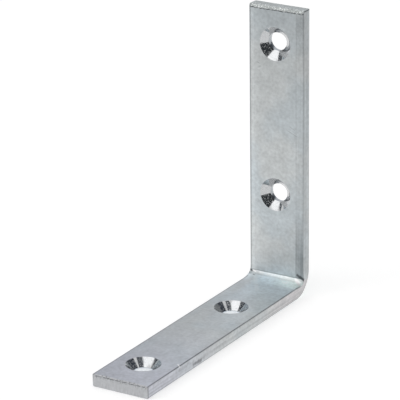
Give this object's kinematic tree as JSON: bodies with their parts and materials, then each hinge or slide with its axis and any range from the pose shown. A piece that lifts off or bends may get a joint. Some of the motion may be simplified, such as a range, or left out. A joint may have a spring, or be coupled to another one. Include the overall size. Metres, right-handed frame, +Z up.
{
  "type": "angle bracket",
  "caption": "Heavy-duty L-shaped angle bracket bent square from one thick flat steel bar, zinc plated, with countersunk screw holes in both legs.",
  "frame": {"origin": "middle of the underside of the bracket's bounding box: halfway along the lying leg, on the bar's centre line, at the height of its outer face", "axes": "+X across the bar, +Y from the lying leg's free end towards the standing leg, +Z up along the standing leg"},
  "size_m": [0.0306, 0.15, 0.146],
  "materials": {
    "zinc_plated_steel": "bright zinc plating over drawn bar, satin, light grey with faint blue and lilac tints; countersinks cut shiny"
  },
  "bodies": {
    "root": {"bracket": "zinc_plated_steel"}
  },
  "joints": []
}
